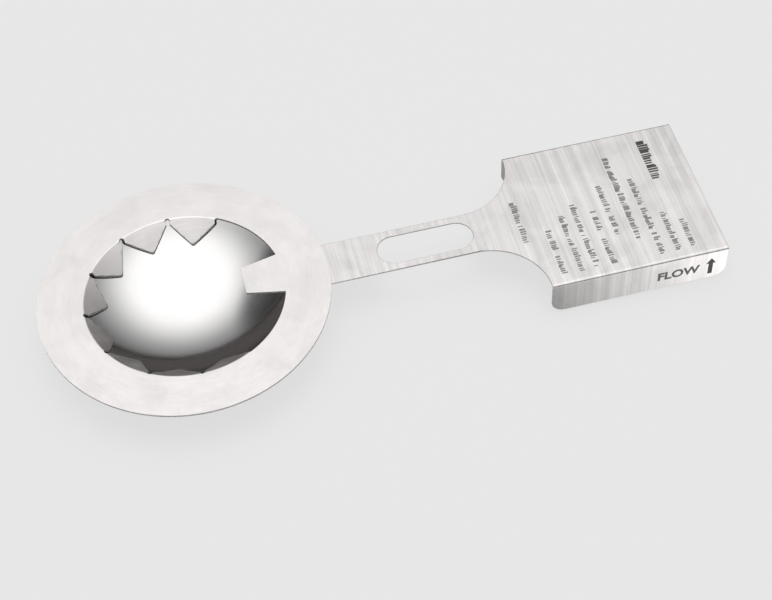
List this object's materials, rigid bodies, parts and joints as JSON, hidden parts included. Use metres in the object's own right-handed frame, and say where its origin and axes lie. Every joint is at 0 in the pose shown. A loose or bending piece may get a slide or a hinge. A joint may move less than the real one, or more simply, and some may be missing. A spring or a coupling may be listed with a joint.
{
  "type": "rupture disc",
  "caption": "Reverse-acting rupture disc: domed membrane under a toothed ring, tack-welded to a slotted strap and a folded flow tag.",
  "frame": {"origin": "on the disc's axis, in the plane where the toothed ring lies on the membrane's flange", "axes": "+Z along the disc's axis to the vent side, +X along the strap from the ring to the tag"},
  "size_m": [0.178, 0.076, 0.0122],
  "materials": {
    "ring_steel": "satin",
    "dome_foil": "polished",
    "tag_steel": "brushed"
  },
  "bodies": {
    "root": {"toothed_ring": "ring_steel", "rupture_dome": "dome_foil", "tag": "tag_steel"}
  },
  "joints": []
}
